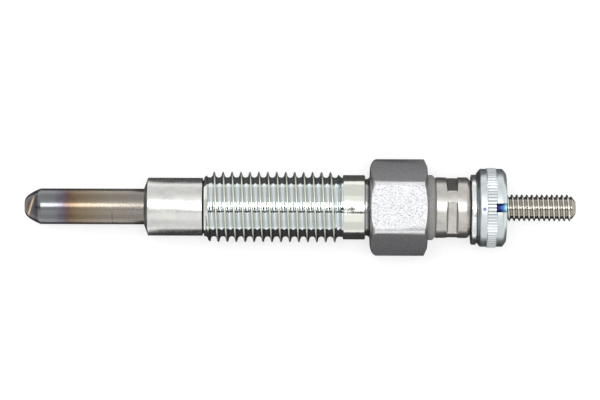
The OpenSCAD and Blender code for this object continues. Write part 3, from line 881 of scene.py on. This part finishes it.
# Floor: a wide pale table on which the plug lies on one flat of its hex. A little light of its own lifts
# its pale grey to white for the camera and in reflections.
floor_size = 6.0
floor_grey = 0.6
floor_glow = 0.56
bpy.ops.object.select_all(action="DESELECT")
bpy.ops.mesh.primitive_plane_add(size=floor_size, location=(0, 0, cad_box[0].z))
floor = bpy.context.object
floor.name = "floor"
white_table = bpy.data.materials.new("white_table")
white_table.use_nodes = True
tree = white_table.node_tree
shader = tree.nodes["Principled BSDF"]
shader.inputs["Base Color"].default_value = (floor_grey, floor_grey, floor_grey, 1)
shader.inputs["Roughness"].default_value = 0.9
shader.inputs["Specular IOR Level"].default_value = 0.0
rays = tree.nodes.new("ShaderNodeLightPath")
seen = combine(tree, "MAXIMUM", rays.outputs["Is Camera Ray"], rays.outputs["Is Glossy Ray"])
seen = combine(tree, "MAXIMUM", seen, rays.outputs["Is Transmission Ray"])
shader.inputs["Emission Color"].default_value = (1, 1, 1, 1)
tree.links.new(combine(tree, "MULTIPLY", seen, floor_glow), shader.inputs["Emission Strength"])
floor.data.materials.append(white_table)

# Dark cards: grey boards lie under the plug, as in a product studio. Only reflections see them, and they
# draw the dark edges of the round metal pieces against the white table.
card_ends = stud_end + 5 * mm
card_lift = 0.02 * mm
card_blue = 1.03
for name, start, end, near, far, grey in (
    ("tip_card", sheath_tip - 8 * mm, nose_x - 2 * mm, 14 * mm, -14 * mm, 0.15),
    ("upper_card", nose_x - 2 * mm, card_ends, 32 * mm, 0, 0.095),
    ("lower_card", nose_x - 2 * mm, card_ends, 0, -50 * mm, 0.052),
):
    card_material = bpy.data.materials.new(name)
    card_material.use_nodes = True
    card_shader = card_material.node_tree.nodes["Principled BSDF"]
    card_shader.inputs["Base Color"].default_value = (grey, grey, grey * card_blue, 1)
    card_shader.inputs["Roughness"].default_value = 0.9
    card_shader.inputs["Specular IOR Level"].default_value = 0.0
    bpy.ops.object.select_all(action="DESELECT")
    middle = ((start + end) / 2, (near + far) / 2, cad_box[0].z + card_lift)
    bpy.ops.mesh.primitive_plane_add(size=1, location=middle)
    card = bpy.context.object
    card.name = name
    card.scale = (end - start, near - far, 1)
    bpy.ops.object.transform_apply(location=True, rotation=True, scale=True)
    card.data.materials.append(card_material)
    card.visible_camera = False
    card.visible_diffuse = False
    card.visible_shadow = False
    card.visible_transmission = False

# Softboxes: a bright panel hangs overhead with a dim one on either side, so that highlights fade out. Two
# strip lamps sharpen them on the tip and the stud, and black bars draw thin dark lines, in a pale room.
panel_height = 0.6
lamp_gap = 5 * mm
panel_ends = (-157 * mm, 183 * mm)
lamps = (
    ("upper_softbox", (-42, -21), panel_ends, panel_height, 0.2),
    ("main_softbox", (-21, 26), panel_ends, panel_height, 0.6),
    ("lower_softbox", (26, 54), panel_ends, panel_height, 0.25),
    ("tip_strip", (-19, 1), (-157 * mm, -35 * mm), panel_height - 2 * lamp_gap, 6.4),
    ("stud_strip", (-8, 10), (74 * mm, 140 * mm), panel_height - 2 * lamp_gap, 11.5),
)
black_bars = (
    ((-0.5, 11.5), (-34 * mm, 900 * mm)),
    ((-0.5, 11.5), (-900 * mm, -80 * mm)),
    ((15, 22.5), (-34 * mm, 900 * mm)),
    ((15, 22.5), (-900 * mm, -80 * mm)),
)


def overhead(angle, height):
    """The y at a height that the upper side of the plug sees under an angle in degrees."""
    return -height * math.tan(math.radians(angle))


for name, (near, far), (start, end), height, light in lamps:
    width = overhead(near, height) - overhead(far, height)
    lamp = bpy.data.lights.new(name, "AREA")
    lamp.shape = "RECTANGLE"
    lamp.size = end - start
    lamp.size_y = width
    lamp.energy = light * math.pi * lamp.size * width
    softbox = bpy.data.objects.new(name, lamp)
    softbox.location = ((start + end) / 2, (overhead(near, height) + overhead(far, height)) / 2, height)
    bpy.context.scene.collection.objects.link(softbox)
bar_material = bpy.data.materials.new("black_bar")
bar_material.use_nodes = True
bar_shader = bar_material.node_tree.nodes["Principled BSDF"]
bar_shader.inputs["Base Color"].default_value = (0.01, 0.01, 0.012, 1)
bar_shader.inputs["Roughness"].default_value = 0.9
bar_height = panel_height - lamp_gap
room_light = 0.8
for number, ((near, far), (start, end)) in enumerate(black_bars):
    upper = overhead(near, bar_height)
    lower = overhead(far, bar_height)
    bpy.ops.object.select_all(action="DESELECT")
    bpy.ops.mesh.primitive_plane_add(size=1, location=((start + end) / 2, (upper + lower) / 2, bar_height))
    bar = bpy.context.object
    bar.name = f"black_bar_{number}"
    bar.scale = (end - start, upper - lower, 1)
    bpy.ops.object.transform_apply(location=True, rotation=True, scale=True)
    bar.data.materials.append(bar_material)
    bar.visible_camera = False
world = bpy.data.worlds.new("pale_room")
world.use_nodes = True
world.node_tree.nodes["Background"].inputs["Color"].default_value = (room_light, room_light, room_light, 1)
bpy.context.scene.world = world

# Camera: straight above the plug, with the tip to the left, as in the photograph. One image width covers
# the frame's width at the height of the plug's axis.
camera_height = 0.518
view_width = 83.86 * mm
view_centre = (13.36 * mm, 0.995 * mm)
camera_roll = math.radians(0.2)
camera = bpy.data.cameras.new("camera")
camera.sensor_width = 36
camera.lens = camera.sensor_width * camera_height / view_width
camera.clip_start = 0.01
eye = bpy.data.objects.new("camera", camera)
eye.location = (*view_centre, camera_height)
eye.rotation_euler = (0, 0, camera_roll)
bpy.context.scene.collection.objects.link(eye)
bpy.context.scene.camera = eye
bpy.context.scene.view_settings.view_transform = "Standard"
